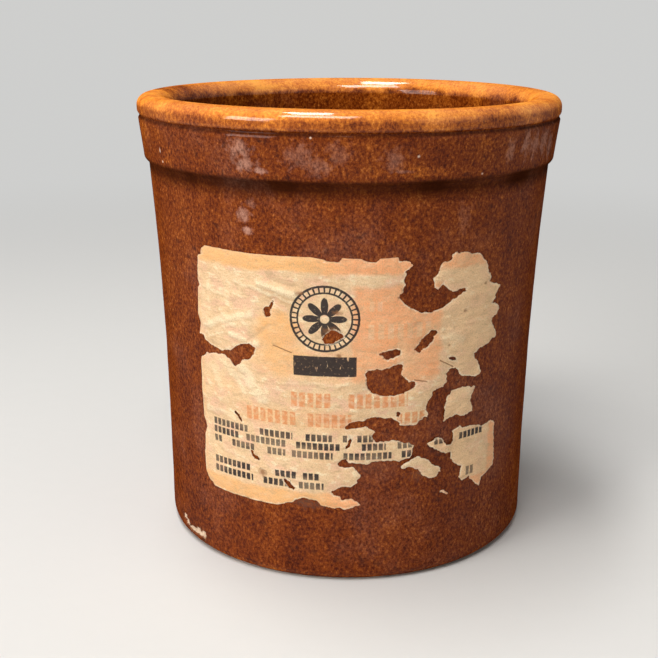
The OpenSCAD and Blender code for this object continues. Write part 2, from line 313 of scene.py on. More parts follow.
def makeGlaze(turns):
    # the outside skin, then back under itself, from the floor's top to the floor's underside
    a = turns[:, None]
    outer, under = outlineStations(0, True), outlineStations(crock["glaze"], False)
    path = np.concatenate([outer[::-1], under])
    seen = len(outer)
    r, z = turnPath(path, turns)
    outside = np.zeros(len(path))
    outside[seen - heelToRim:seen] = 1
    outside[seen:] = np.where(under[:, 0] > mouthR + 2 * mm, 1, 0)
    # the glaze's lower border wanders along the heel
    heelR, heelZ = footOutR, crock["heelRound"]
    border = np.arange(seen - heelStations, seen + 12)
    wander = 1 + 0.16 * turnNoise(a, 60, 3.3, 71)
    share = np.clip((heelZ - path[border, 1]) / heelZ, 0, 1)[None, :]
    up, out = z[:, border] - heelZ, r[:, border] - heelR
    angle, length = np.arctan2(up, out) * (1 + (wander - 1) * share), np.hypot(up, out)
    onHeel = (path[border, 1] < heelZ)[None, :]
    r[:, border] = np.where(onHeel, heelR + length * np.cos(angle), r[:, border])
    z[:, border] = np.where(onHeel, heelZ + length * np.sin(angle), z[:, border])
    # out of round outside, and a little inside; sunk into the clay at a chip
    shift = offRound(a, z) * outside[None, :]
    inside = (1 - outside[None, :]) * smoothStep(20 * mm, 40 * mm, z)
    shift = shift + inside * offRound(-a, z * 1.3) * 0.8
    chip = np.where((outside[None, :] > 0) & (z < chips["below"]), chipShape(a, z), -1)
    sink = smoothStep(0.0, 0.14, chip) * (crock["glaze"] + chips["pit"] + chips["clear"])
    r = np.maximum(r + shift - sink * 0.95, 0)
    z = z + sink * np.clip((heelZ - z) / heelZ, 0, 1) * 0.8
    r[:, 0] = r[:, -1] = 0
    z = z + 0.1 * mm * np.cos(a * 2 + 1) * smoothStep(0.9, 1, z / crock["height"])
    glaze = latheObject("glazeCoat", r, z, turns)
    within = np.where(np.arange(len(path)) < seen - heelToRim - 12, 1.0, 0.0)
    addGlazeMasks(glaze, path, a, z, chip, within)
    return glaze


def makeClay(turns):
    # the hollow foot and its ring, then the same outline as the seen one, under the glaze
    a = turns[:, None]
    c = crock
    hollow = np.stack([np.linspace(0, footInR - 1.2 * mm, 12), np.full(12, c["footHollow"])], 1)
    ringIn = np.linspace(hollow[-1], [footInR, 0.0], 5)[1:]
    ringOut = np.linspace([footInR, 0.0], [footOutR, 0.0], 8)[1:]
    bare = arcPoints(footOutR, c["heelRound"], c["heelRound"], -90, -c["glazeReach"] - 8, 4)
    path = np.concatenate([hollow, ringIn, ringOut, bare[1:], outlineStations(c["glaze"], False)])
    r, z = turnPath(path, turns)
    footStations = 22
    outside = (np.arange(len(path)) >= footStations) & (path[:, 0] > mouthR + 2 * mm)
    shift = offRound(a, z) * outside[None, :]
    chip = np.where(outside[None, :] & (z < chips["below"]), chipShape(a, z), -1)
    grit = 1 + 0.5 * turnNoise(a, 420, z / (0.8 * mm), 17)
    dent = smoothStep(0.0, 0.7, chip) * chips["pit"] * grit
    r = np.maximum(r + shift - dent, 0)
    # the ring is ground a little unevenly
    grind = turnNoise(a, 90, r / (3 * mm), 23)
    z = z + 0.06 * mm * np.maximum(1 + grind, 0) * (path[:, 1] < 0.01 * mm)[None, :]
    r[:, 0] = r[:, -1] = 0
    z[:, 0] = c["footHollow"]
    clay = latheObject("clayBody", r, z, turns)
    addMask(clay, "footWear", ringValues(np.ones((len(turns), 1)) * (path[:, 1] < 0.4 * mm)[None, :]))
    return clay


turns = turnAngles()
glazeCoat, clayBody = makeGlaze(turns), makeClay(turns)
print("crock:", len(glazeCoat.data.polygons), "glaze faces,", len(clayBody.data.polygons), "clay faces")


label = {
    "cell": 0.34,          # mm between the paper's points
    "paper": 0.16,         # mm
    "glue": 0.03,          # mm under the paper
    "tear": 0.26,          # mm by which a torn edge strays
    "fineWrinkle": 0.070,  # mm
    "edgeLift": 0.13,      # mm
}
# folds pressed into the paper: start s, z, end s, z, height, half width, all in mm
creases = [
    (-44, 68.5, -24, 75.5, 0.20, 0.9), (-25, 83.6, -12, 80.2, 0.42, 0.9),
    (-22, 85.2, -13, 83.4, -0.24, 0.7), (-33, 84, -12, 78.5, 0.12, 0.6),
    (-34, 68.4, -23, 66.2, 0.34, 0.9), (-31, 61.5, -22, 49.5, 0.24, 2.0), (-40, 59, -36, 50, 0.09, 1.8),
    (-29, 66, -20, 73, -0.14, 0.8), (-44, 46, -30, 44.5, 0.10, 0.9), (-36, 62, -28, 52, 0.12, 1.6),
    (-36, 74, -30, 71, 0.18, 0.8), (-43, 80, -31, 77.5, 0.10, 0.7), (24, 79, 39, 83, 0.05, 1.0),
    (25, 70, 32, 66, 0.09, 1.6), (21, 73, 26, 66, 0.09, 1.4), (-20, 57, 3, 57.5, 0.08, 0.9),
    (33, 40, 45, 27, 0.05, 0.9), (-14, 45, 14, 50, -0.07, 0.8), (-6, 49, 16, 45, 0.09, 0.8),
    (-24, 33, -10, 29, 0.09, 0.9), (-38, 35, -26, 33, 0.08, 0.8),
]
creaseScale = 1.7
# places where the paper has come away and stands off: s, z, reach, height
lifts = [
    (-27.7, 72.3, 2.2, 0.35), (26.5, 37.6, 3.6, 0.9), (23, 38.6, 2.0, 0.6), (-44, 66, 3.0, 0.45),
    (14.6, 88.5, 2.2, 0.4), (37, 57, 2.2, 0.45), (43, 79.5, 2.4, 0.35), (18, 77, 3.0, 0.25),
    (-26, 65.5, 2.4, 0.4), (16.5, 36.8, 2.5, 0.45), (13, 33.4, 2.0, 0.35), (25.6, 47, 2.2, 0.4),
    (46, 40, 2.0, 0.3), (-31, 46.2, 1.6, 0.3), (39.5, 23.4, 2.0, 0.4),
]

labelLow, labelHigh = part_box("label_main")
midRadius = float(wallRadius((labelLow.z + labelHigh.z) / 2))


def segmentDistance(s, z, s0, z0, s1, z1):
    # distance from each point to a straight line piece, and how far along it the nearest point lies
    ds, dz = s1 - s0, z1 - z0
    t = np.clip(((s - s0) * ds + (z - z0) * dz) / np.maximum(ds * ds + dz * dz, 1e-12), 0, 1)
    return np.hypot(s - s0 - t * ds, z - z0 - t * dz), t


def outlinePieces(nodeName):
    # the outline of a CAD label piece as line pieces in mm: the sides that only one outer triangle uses
    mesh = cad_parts[nodeName].data
    mesh.calc_loop_triangles()
    corners = np.empty(len(mesh.loop_triangles) * 3, np.int32)
    mesh.loop_triangles.foreach_get("vertices", corners)
    co = np.empty(len(mesh.vertices) * 3, np.float32)
    mesh.vertices.foreach_get("co", co)
    co = co.reshape(-1, 3).astype(float)
    same, ids = np.unique(np.round(co * 1e6).astype(np.int64), axis=0, return_inverse=True)
    ids = ids.reshape(-1)
    tri = corners.reshape(-1, 3)
    p = co[tri]
    normal = np.cross(p[:, 1] - p[:, 0], p[:, 2] - p[:, 0])
    outwards = p.mean(1) * [1, 1, 0]
    sizes = np.linalg.norm(normal, axis=1), np.linalg.norm(outwards, axis=1)
    facing = (normal * outwards).sum(1) > 0.6 * sizes[0] * sizes[1]
    used = ids[tri[facing]]
    sides = np.sort(np.concatenate([used[:, [0, 1]], used[:, [1, 2]], used[:, [2, 0]]]), axis=1)
    sides, times = np.unique(sides, axis=0, return_counts=True)
    ends = same[sides[times == 1]] * 1e-6
    s = np.arctan2(ends[..., 0], -ends[..., 1]) * midRadius
    return np.stack([s, ends[..., 2]], -1) / mm


def insideDistance(s, z, pieces):
    # distance to the outline, positive inside: nearest line piece, and an odd count of crossings to the right
    near = np.full(s.shape, 1e9)
    crossings = np.zeros(s.shape, int)
    for group in np.array_split(pieces, max(1, len(pieces) // 24)):
        s0, z0, s1, z1 = (group[:, 0, 0], group[:, 0, 1], group[:, 1, 0], group[:, 1, 1])
        far, along = segmentDistance(s[..., None], z[..., None], s0, z0, s1, z1)
        near = np.minimum(near, far.min(-1))
        rise = np.where(z1 == z0, 1e-12, z1 - z0)
        crossS = s0 + (z[..., None] - z0) / rise * (s1 - s0)
        crossings += (((z0 > z[..., None]) != (z1 > z[..., None])) & (s[..., None] < crossS)).sum(-1)
    return np.where(crossings % 2 == 1, near, -near)


def paperLift(s, z, gap):
    # how far the paper stands off the glaze, in mm: cockles, pressed folds, lifted edges and lifted places;
    # and where a fold's light and shade are painted, positive for a highlight on a ridge and negative for
    # shade in a valley
    side = smoothStep(14, 26, s)
    cockle = roughNoise(s / 6.5, z / 1.5, 41) * 0.9 * (1 - side)
    cockle = cockle + roughNoise(s / 4.2, z / 1.1, 42) * 1.9 * side
    settled = smoothStep(-0.1, 1.4, gap)
    foldMarks = np.zeros(s.shape)
    lift = label["glue"] + label["fineWrinkle"] * (1.4 + cockle) * settled
    lift = lift + 0.10 * (1 + roughNoise(s / 13, z / 9, 43, octaves=2)) * smoothStep(0, 3, gap)
    for s0, z0, s1, z1, height, half in creases:
        stray = 0.5 * roughNoise(s / 4, z / 4, int(100 + s0 + z0), octaves=2)
        far, along = segmentDistance(s, z + stray, s0, z0, s1, z1)
        ends = smoothStep(0, 0.15, along) * smoothStep(1, 0.85, along) * (0.35 + 0.65 * settled)
        fold = np.exp(-(far / half) ** 2) * ends
        lift = lift + creaseScale * height * fold
        foldMarks = np.where(np.abs(foldMarks) > fold, foldMarks, np.sign(height) * fold * min(1, abs(height) / 0.2))
    ragged = smoothStep(-0.1, 0.7, latticeNoise(s / 3.1, z / 3.1, 47))
    lift = lift + label["edgeLift"] * np.exp(-np.maximum(gap, 0) / 0.7) * ragged
    for s0, z0, reach, height in lifts:
        away = np.hypot(s - s0, z - z0) / reach
        fromEdge = 1.6 if height > 0.36 else 9.0  # the high ones stand up only at the edge
        lift = lift + height * np.exp(-away ** 2 * 1.6) * np.exp(-np.maximum(gap, 0) / fromEdge)
    return np.maximum(lift, 0.02), foldMarks


def softBox(s, z, s0, s1, z0, z1, soft):
    # 1 inside a rectangle whose edges fade over soft mm
    return (smoothStep(s0 - soft, s0 + soft, s) * (1 - smoothStep(s1 - soft, s1 + soft, s))
            * smoothStep(z0 - soft, z0 + soft, z) * (1 - smoothStep(z1 - soft, z1 + soft, z)))


# the printed orange, in mm on the sheet, each with its share from 0 to 1 or a little over
orangeInk = {
    "top": (86.2, 87.6, 1.15), "bottom": (25.6, 26.9, 1.1), "right": (42.3, 43.6, 1.1), "rightBelow": 60,
    "left": (-43.6, -42.6, 0.35),
    # ovals: middle s, z, half width, half height, where the edge starts and ends to fade
    "ovals": [(-19.0, 70.8, 6.8, 6.6, 0.55, 1.15, 1.10), (-17.0, 63.2, 9.5, 5.6, 0.5, 1.2, 0.85)],
    # boxes: s and z ranges, softness
    "boxes": [(-31, 1, 44.6, 50.0, 1.6, 0.34), (-44, -30, 51, 56, 2.2, 0.26), (-15, 1, 57.5, 67, 1.5, 0.3)],
    "field": (0.5, 24.0, 58.0, 83.5, 1.1, 0.95),
    "foldMarks": 0.55,  # share lost along the slanting fold across the field
}


def orangePrint(s, z):
    # where the sheet was printed orange, worn by noise: the strongest of bands along its edges, ovals,
    # boxes and one field with a slanting fold rubbed pale
    stray = 0.7 * roughNoise(s / 3, z / 2.2, 61)
    bandZ, bandS = z + 0.6 * stray, s + 0.5 * stray
    low, high, share = orangeInk["top"]
    shares = [share * smoothStep(low, high, bandZ)]
    low, high, share = orangeInk["bottom"]
    shares.append(share * (1 - smoothStep(low, high, bandZ)))
    low, high, share = orangeInk["right"]
    shares.append(share * (smoothStep(low, high, bandS) * (z < orangeInk["rightBelow"])))
    low, high, share = orangeInk["left"]
    shares.append(share * (1 - smoothStep(low, high, s)))
    for middleS, middleZ, wide, tall, low, high, share in orangeInk["ovals"]:
        away = np.hypot((s - middleS + stray) / wide, (z - middleZ + stray) / tall)
        shares.append(share * (1 - smoothStep(low, high, away)))
    for *box, share in orangeInk["boxes"]:
        shares.append(softBox(s + stray, z + stray, *box) * share)
    *box, share = orangeInk["field"]
    fold = smoothStep(57, 66, z - 0.9 * (s - 14)) * (1 - smoothStep(62, 72, z + s - 14)) * (s > 12)
    shares.append(softBox(s + stray, z + stray, *box) * share * (1 - orangeInk["foldMarks"] * fold))
    worn = 0.86 + 0.2 * roughNoise(s / 2.2, z / 1.1, 67)
    return np.clip(np.maximum.reduce(shares) * worn, 0, 1)


def makeLabel(name, nodeName):
    pieces = outlinePieces(nodeName)
    cell = label["cell"] if nodeName == "label_main" else label["cell"] * 0.7
    low, high = pieces.min((0, 1)) - 3 * cell, pieces.max((0, 1)) + 3 * cell
    sLine, zLine = np.arange(low[0], high[0], cell), np.arange(low[1], high[1], cell)
    s, z = np.meshgrid(sLine, zLine, indexing="ij")
    gap = insideDistance(s, z, pieces)
    # torn edges stray, the edges that were cut stay straight
    cut = np.maximum.reduce([smoothStep(-43.0, -44.5, s), smoothStep(89.8, 90.6, z) * (s < 12),
                             smoothStep(22.8, 22.0, z) * (s < -18)])
    torn = 1 - 0.8 * cut
    gap = gap + label["tear"] * torn * (roughNoise(s / 1.0, z / 0.8, 51, octaves=3) - 0.1)
    # points near the edge are drawn on to it, down the slope of the distance
    slopeS, slopeZ = np.gradient(gap, cell)
    steep = np.maximum(slopeS ** 2 + slopeZ ** 2, 0.4)
    drawn = np.abs(gap) < 0.78 * cell
    s = np.where(drawn, s - np.clip(gap * slopeS / steep, -cell, cell), s)
    z = np.where(drawn, z - np.clip(gap * slopeZ / steep, -cell, cell), z)
    edge = np.where(drawn, 0, gap)

    rows, columns = s.shape
    index = np.arange(rows * columns).reshape(rows, columns)
    a, b, c, d = index[:-1, :-1], index[1:, :-1], index[1:, 1:], index[:-1, 1:]
    checker = ((np.arange(rows - 1)[:, None] + np.arange(columns - 1)[None, :]) % 2 == 0)[..., None]
    first = np.where(checker, np.stack([a, b, c], -1), np.stack([a, b, d], -1)).reshape(-1, 3)
    second = np.where(checker, np.stack([a, c, d], -1), np.stack([b, c, d], -1)).reshape(-1, 3)
    tri = np.concatenate([first, second])
    flatEdge, flatGap = edge.reshape(-1), gap.reshape(-1)
    tri = tri[(flatEdge[tri].min(1) >= 0) & (flatGap[tri].mean(1) > 0)]
    used, tri = np.unique(tri, return_inverse=True)
    tri = tri.reshape(-1, 3)
    s, z, edge = s.reshape(-1)[used], z.reshape(-1)[used], np.maximum(flatEdge[used], 0)

    angle = s / (midRadius / mm)
    height = z * mm
    floor = wallRadius(height) + offRound(angle, height)
    lift, foldMarks = paperLift(s, z, edge)
    lift = lift * mm
    thin = label["paper"] * (1 - 0.6 * np.exp(-edge / 0.35)) * mm  # torn fibres thin out to the edge

    def layer(radius):
        return np.stack([radius * np.sin(angle), -radius * np.cos(angle), height], -1)

    outer, inner = layer(floor + lift + thin), layer(floor + lift)
    count = len(s)
    sides = np.concatenate([tri[:, [0, 1]], tri[:, [1, 2]], tri[:, [2, 0]]])
    keys = np.sort(sides, axis=1)
    _, where, times = np.unique(keys, axis=0, return_index=True, return_counts=True)
    rim = sides[where[times == 1]]
    walls = np.stack([rim[:, 0], rim[:, 0] + count, rim[:, 1] + count, rim[:, 1]], 1)
    faces = tri.tolist() + (tri[:, ::-1] + count).tolist() + walls.tolist()
    piece = meshObject(name, np.concatenate([outer, inner]), faces)
    mesh = piece.data

    corner = np.empty(len(mesh.loops), np.int32)
    mesh.loops.foreach_get("vertex_index", corner)
    sheet = mesh.uv_layers.new(name="sheetMap")
    spot = corner % count
    uv = np.stack([s[spot] / 100 + 0.5, z[spot] / 100], 1)
    sheet.data.foreach_set("uv", uv.astype(np.float32).reshape(-1))
    sharp = mesh.attributes.new("sharp_edge", "BOOLEAN", "EDGE")
    ends = np.empty(len(mesh.edges) * 2, np.int32)
    mesh.edges.foreach_get("vertices", ends)
    ends = np.sort(ends.reshape(-1, 2), axis=1).astype(np.int64)
    rimKeys = np.sort(rim, axis=1)
    codes = np.concatenate([(rimKeys[:, 0] + more) * 2 * count + rimKeys[:, 1] + more for more in (0, count)])
    sharp.data.foreach_set("value", np.isin(ends[:, 0] * 2 * count + ends[:, 1], codes))

    twice = lambda values: np.concatenate([values, values])
    addMask(piece, "edgeGap", twice(np.clip(edge, 0, 6)))
    straight = np.interp(s, [-44.5, -43.0], [0.8, 0])
    addMask(piece, "tornEdge", twice(1 - straight - 0.8 * ((z > 90) & (s < 12))))
    addMask(piece, "orangePrint", twice(orangePrint(s, z)))
    grime = 0.75 * smoothStep(18, 30, s) + 0.25 * roughNoise(s / 9, z / 6, 81)
    addMask(piece, "grimed", twice(np.clip(grime, 0, 1)))
    # painted highlight on fold ridges and painted shade in fold valleys
    addMask(piece, "foldHighlightShade", twice(foldMarks))
    addMask(piece, "undersideMask", np.concatenate([np.zeros(count), np.ones(count)]))
    return piece


labelPieces = {
    "labelMain": "label_main", "labelSideScrap": "label_side_scrap", "labelCornerScrap": "label_corner_scrap",
    "labelLowerScrap": "label_lower_scrap", "labelFleck": "label_fleck",
}
paperObjects = {name: makeLabel(name, nodeName) for name, nodeName in labelPieces.items()}
print("label:", sum(len(p.data.polygons) for p in paperObjects.values()), "faces")


def addNode(tree, kind, inputs=None, **settings):
    node = tree.nodes.new(kind)
    node.location = (170 * (len(tree.nodes) % 14), -260 * (len(tree.nodes) // 14))
    for key, value in settings.items():
        setattr(node, key, value)
    for key, value in (inputs or {}).items():
        if isinstance(value, (Field, bpy.types.NodeSocket)):
            feed(tree, value, node.inputs[key])
        else:
            node.inputs[key].default_value = value
    return node


def feed(tree, value, socket):
    tree.links.new(getattr(value, "socket", value), socket)


def fieldsOf(tree, node):
    return {out.name: Field(tree, out) for out in node.outputs}


class Field:
    # a node's output; sums and products of fields each add a Math node of their own
    def __init__(self, tree, socket):
        self.tree, self.socket = tree, socket

    def __add__(self, other):
        return calcNode(self.tree, "ADD", self, other)

    def __radd__(self, other):
        return calcNode(self.tree, "ADD", other, self)

    def __sub__(self, other):
        return calcNode(self.tree, "SUBTRACT", self, other)

    def __rsub__(self, other):
        return calcNode(self.tree, "SUBTRACT", other, self)

    def __mul__(self, other):
        return calcNode(self.tree, "MULTIPLY", self, other)

    def __rmul__(self, other):
        return calcNode(self.tree, "MULTIPLY", other, self)

    def __truediv__(self, other):
        return calcNode(self.tree, "DIVIDE", self, other)

    def __abs__(self):
        return calcNode(self.tree, "ABSOLUTE", self)


def calcNode(tree, operation, first, second=0.0):
    return Field(tree, addNode(tree, "ShaderNodeMath", {0: first, 1: second}, operation=operation).outputs[0])


def clamped(field):
    # keeps the last sum between 0 and 1
    field.socket.node.use_clamp = True
    return field


def larger(first, second):
    return calcNode(first.tree, "MAXIMUM", first, second)


def blendColour(factor, first, second):
    node = addNode(factor.tree, "ShaderNodeMix", {0: factor, 6: first, 7: second}, data_type="RGBA")
    node.clamp_result = True
    return node.outputs[2]


def colourRamp(tree, factor, stops):
    node = addNode(tree, "ShaderNodeValToRGB", {0: factor})
    elements = node.color_ramp.elements
    while len(elements) < len(stops):
        elements.new(0.5)
    for element, (place, colour) in zip(elements, stops):
        element.position = place
        element.color = (*colour, 1)
    return node.outputs[0]


def remap(field, low, high, newLow=0.0, newHigh=1.0, smooth=True):
    node = addNode(field.tree, "ShaderNodeMapRange", {0: field, 1: low, 2: high, 3: newLow, 4: newHigh},
                   interpolation_type="SMOOTHSTEP" if smooth else "LINEAR")
    return Field(field.tree, node.outputs[0])


def noiseOf(vector, scale, detail=3.0, rough=0.55):
    tree = vector.tree
    inputs = {"Vector": vector, "Scale": scale, "Detail": detail, "Roughness": rough}
    return Field(tree, addNode(tree, "ShaderNodeTexNoise", inputs).outputs[0])


def stretched(vector, scale, place=(0, 0, 0)):
    node = addNode(vector.tree, "ShaderNodeMapping", {"Vector": vector, "Scale": scale, "Location": place})
    return Field(vector.tree, node.outputs[0])


def objectPlace(tree):
    return fieldsOf(tree, addNode(tree, "ShaderNodeTexCoord"))["Object"]


def maskOf(tree, name):
    return Field(tree, addNode(tree, "ShaderNodeAttribute", attribute_name=name).outputs["Fac"])


def axesOf(vector):
    return list(fieldsOf(vector.tree, addNode(vector.tree, "ShaderNodeSeparateXYZ", {0: vector})).values())


def vectorNode(tree, operation, *values, output="Vector", **inputs):
    node = addNode(tree, "ShaderNodeVectorMath", {**dict(enumerate(values)), **inputs}, operation=operation)
    return fieldsOf(tree, node)[output]


def bumpNormal(tree, shader, height, strength, distance):
    bump = addNode(tree, "ShaderNodeBump", {"Height": height, "Strength": strength, "Distance": distance})
    feed(tree, bump.outputs[0], shader.inputs["Normal"])


def newGroup(name, inputs, outputs):
    # inputs are numbers with a default, or vectors where it is None; outputs are numbers
    group = bpy.data.node_groups.new(name, "ShaderNodeTree")
    for socketName, default in inputs.items():
        kind = "NodeSocketVector" if default is None else "NodeSocketFloat"
        socket = group.interface.new_socket(socketName, in_out="INPUT", socket_type=kind)
        if default is not None:
            socket.default_value = default
    for socketName in outputs:
        group.interface.new_socket(socketName, in_out="OUTPUT", socket_type="NodeSocketFloat")
    return group, fieldsOf(group, group.nodes.new("NodeGroupInput")), group.nodes.new("NodeGroupOutput")


def useGroup(tree, group, inputs):
    return fieldsOf(tree, addNode(tree, "ShaderNodeGroup", inputs, node_tree=group))


def newMaterial(name):
    material = bpy.data.materials.new(name)
    material.use_nodes = True
    tree = material.node_tree
    return material, tree, tree.nodes["Principled BSDF"]


def makeSpeckle():
    # two sizes of noise laid over each other: Mask for the colour, Relief for the bump
    inputs = {"Vector": None, "Size": 900.0, "Contrast": 1.0}
    group, start, end = newGroup("speckle", inputs, ["Mask", "Relief"])
    big = noiseOf(start["Vector"], start["Size"], 3.0, 0.6)
    small = noiseOf(start["Vector"], start["Size"] * 2.3, 2.0, 0.5)
    both = big * 0.66 + small * 0.34
    spread = (both - 0.5) * start["Contrast"]
    feed(group, clamped(spread * 2.6 + 0.5), end.inputs["Mask"])
    feed(group, both, end.inputs["Relief"])
    return group


def makeSpot():
    # one soft spot: distance from Centre measured in Size, with an edge broken by noise
    inputs = {"Vector": None, "Centre": None, "Size": None, "Ragged": 0.5, "Grain": 900.0}
    group, start, end = newGroup("softSpot", inputs, ["Mask"])
    offset = vectorNode(group, "SUBTRACT", start["Vector"], start["Centre"])
    share = vectorNode(group, "DIVIDE", offset, start["Size"])
    far = vectorNode(group, "LENGTH", share, output="Value")
    noise = noiseOf(start["Vector"], start["Grain"], 3.0, 0.6) - 0.5
    edge = far + noise * 3.0 * start["Ragged"]
    feed(group, remap(edge, 1.22, 0.12), end.inputs["Mask"])
    return group


def makeDust():
    # a thin uneven film: large cloud times fine grain
    group, start, end = newGroup("dustFilm", {"Vector": None, "Size": 60.0, "Amount": 0.5}, ["Mask"])
    cloud = remap(noiseOf(start["Vector"], start["Size"], 4.0, 0.6), 0.48, 0.72)
    grain = remap(noiseOf(start["Vector"], 1600.0, 2.0, 0.6), 0.35, 0.65)
    film = cloud * (grain * 0.6 + 0.4)
    feed(group, clamped(film * start["Amount"]), end.inputs["Mask"])
    return group


def makeInkBar():
    # a row of plain blocks between Start and End at height Level, in mm on the sheet
    inputs = {"Sheet": None, "Start": 0.0, "End": 10.0, "Level": 40.0, "Half": 0.9, "Pitch": 1.8,
              "Fill": 0.76}
    group, start, end = newGroup("inkBar", inputs, ["Mask"])
    s, z, _ = axesOf(start["Sheet"])
    left = remap(s - start["Start"], -0.08, 0.08)
    right = remap(start["End"] - s, -0.08, 0.08)
    away = abs(z - start["Level"])
    tall = remap(start["Half"] - away, -0.10, 0.10)
    step = calcNode(group, "FRACT", (s - start["Start"]) / start["Pitch"])
    block = remap(start["Fill"] - step, -0.06, 0.06)
    row = left * right * (tall * block)
    feed(group, row, end.inputs["Mask"])
    return group


speckleGroup, spotGroup, dustGroup, inkGroup = makeSpeckle(), makeSpot(), makeDust(), makeInkBar()


def onBody(degrees, height, radius=None):
    # a place on the crock's outside, from its angle from the front and its height in mm
    a, z = math.radians(degrees), height * mm
    r = radius * mm if radius else float(wallRadius(z))
    return (r * math.sin(a), -r * math.cos(a), z)


glazeLook = {
    # colours of the deep glaze and of the thin glaze, from the darkest speck to the lightest
    "stops": [(0.0, (0.048, 0.0070, 0.0014)), (0.26, (0.100, 0.0150, 0.0018)),
              (0.52, (0.182, 0.0330, 0.0032)), (0.78, (0.290, 0.0690, 0.0080)),
              (1.0, (0.470, 0.1480, 0.0280))],
    "thin": [(0.0, (0.230, 0.0380, 0.0040)), (0.35, (0.450, 0.0980, 0.0080)), (0.7, (0.700, 0.2080, 0.0180)),
             (1.0, (0.920, 0.3550, 0.0400))],
    "ironColour": (0.030, 0.006, 0.003, 1),
    # pooled glaze, dark enough to paint the shade in the groove and under the collar
    "pooledShade": (0.032, 0.0075, 0.0028, 1),
    # whitish colour of the film spots, mostly painted reflections of a lamp
    "film": (0.560, 0.3000, 0.2200, 1),
    "residue": (0.170, 0.0900, 0.0560, 1),
    "nick": (0.72, 0.52, 0.38, 1),
    "broken": (0.40, 0.20, 0.10, 1),
    # noises: scale, detail, roughness
    "speckle": 1380.0, "contrast": 0.95, "squash": (1, 1, 0.75),
    "cloud": (28.0, 3.0, 0.5), "mottle": (150.0, 3.0, 0.55), "iron": (420.0, 2.0, 0.5),
    "runStretch": (160, 160, 18), "runs": (1.0, 3.0, 0.55),
    # what each adds to the tone
    "cloudShare": 0.34, "runShare": 0.34, "mottleShare": 0.42, "withinShare": 0.03, "footShadeShare": 0.06,
    "footShadeFade": (0.075, 0.008),       # m, where the wall starts and ends to darken towards the foot
    "ironWindow": (0.62, 0.72), "ironShare": 0.45,
    "thinFromTone": 0.72, "thinFromMottle": 0.60, "thinFromMask": 0.46, "thinLoss": 0.36,
    "edgeSpeckle": 0.24, "edgeMottle": 0.55, "edgeWindow": (0.10, 0.80), "edgeStart": (0.0, 0.15),
    "pooledShadeShare": 0.95, "brokenShare": 0.9,
    "filmAndSheenGrain": (560.0, 0.80), "residueGrain": (520.0, 0.9), "nickGrain": (1500.0, 0.5),
    "dustSize": 45.0, "dustAmount": 0.15,
    "filmAndSheenPatchy": (0.10, 0.85, 0.26, 0.86), "residuePatchy": (0.0, 0.8, 1.0, 0.35),
    # gloss
    "roughness": 0.16, "speckRoughness": 0.08, "filmRoughness": 0.14,
    "coatRim": 1.0, "coatWithin": 0.30, "coatLeast": 0.22, "coatSlant": (0.35, 0.86, 1.0, 0.07),
    "coatRoughness": 0.085, "coatIor": 1.6,
    # orange peel, soft waves and pinholes
    "peel": (430.0, 2.0, 0.45), "waves": (240.0, 1.0, 0.4), "pinholes": 210.0, "pinWindow": (0.0, 0.09),
    "peelShare": 1.0, "speckleShare": 0.35, "waveShare": 3.6, "pinShare": 0.5,
    "bumpStrength": 0.7, "bumpDepth": 0.035 * mm,
}
# whitish patches on the collar and just under it, mostly painted reflections of a ceiling lamp and partly a
# real film: angle, height, radius, size across and up (mm), strength
filmAndSheenSpots = [
    (-27.6, 117.2, 59.5, 4.0, 3.2, 0.72), (-26.2, 113.8, 59.2, 3.6, 2.4, 0.72),
    (-22.8, 112.3, 59.0, 2.4, 1.0, 1.0), (-12.4, 116.2, 59.4, 4.4, 3.8, 0.34),
    (-8.4, 113.6, 59.2, 4.4, 2.4, 0.38), (-26.0, 103.8, None, 1.8, 1.5, 0.50),
    (-3.0, 117.0, 59.4, 3.8, 2.8, 0.24), (-28.3, 100.8, None, 1.9, 2.4, 0.80),
    (-27.4, 96.6, None, 2.1, 1.1, 0.95), (10.0, 115.6, 59.4, 3.6, 2.8, 0.34),
    (12.0, 112.6, 59.1, 3.0, 0.5, 0.45), (42.6, 115.8, 59.4, 2.2, 3.6, 0.40),
    (48.8, 117.2, 59.6, 2.2, 4.4, 0.56), (53.0, 116.4, 59.5, 3.0, 4.0, 0.54),
    (58.5, 116.6, 59.5, 3.4, 4.0, 0.50), (64.0, 115.4, 59.4, 3.0, 4.2, 0.44),
    (30.0, 100.0, None, 2.5, 5.0, 0.16), (150.0, 113.0, 59.2, 5.0, 3.0, 0.4),
    (-140.0, 90.0, None, 2.0, 6.0, 0.35),
]
residueSpots = [
    (-11.0, 23.0, None, 4.5, 1.8, 0.6), (21.0, 30.6, None, 4.0, 2.0, 0.65),
    (29.5, 84.0, None, 5.0, 4.5, 0.25), (9.0, 57.5, None, 5.0, 3.0, 0.18),
    (6.0, 34.0, None, 8.0, 2.0, 0.22), (-37.0, 63.0, None, 4.0, 1.2, 0.25),
]
nicks = [
    (-57.4, 114.2, 59.3, 0.28, 1.0), (-56.7, 111.3, 58.9, 0.36, 0.36), (-57.0, 121.7, 60.1, 0.36, 0.3),
    (-9.6, 120.8, 60.0, 0.35, 0.28), (15.6, 116.2, 59.5, 0.42, 0.42), (33.6, 110.9, 58.9, 0.42, 0.3),
    (83.0, 119.0, 59.7, 0.4, 0.6), (-150.0, 125.0, 60.1, 0.8, 0.6),
]


def strongest(masks):
    # the largest of some masks at each point
    total = masks[0]
    for mask in masks[1:]:
        total = larger(total, mask)
    return total


def spotSum(tree, vector, spots, grain, ragged):
    masks = []
    for degrees, height, radius, across, up, *strength in spots:
        size = (across * mm, across * mm, up * mm)
        inputs = {"Vector": vector, "Centre": onBody(degrees, height, radius), "Size": size,
                  "Ragged": ragged, "Grain": grain}
        masks.append(useGroup(tree, spotGroup, inputs)["Mask"] * (strength[0] if strength else 1.0))
    return strongest(masks)


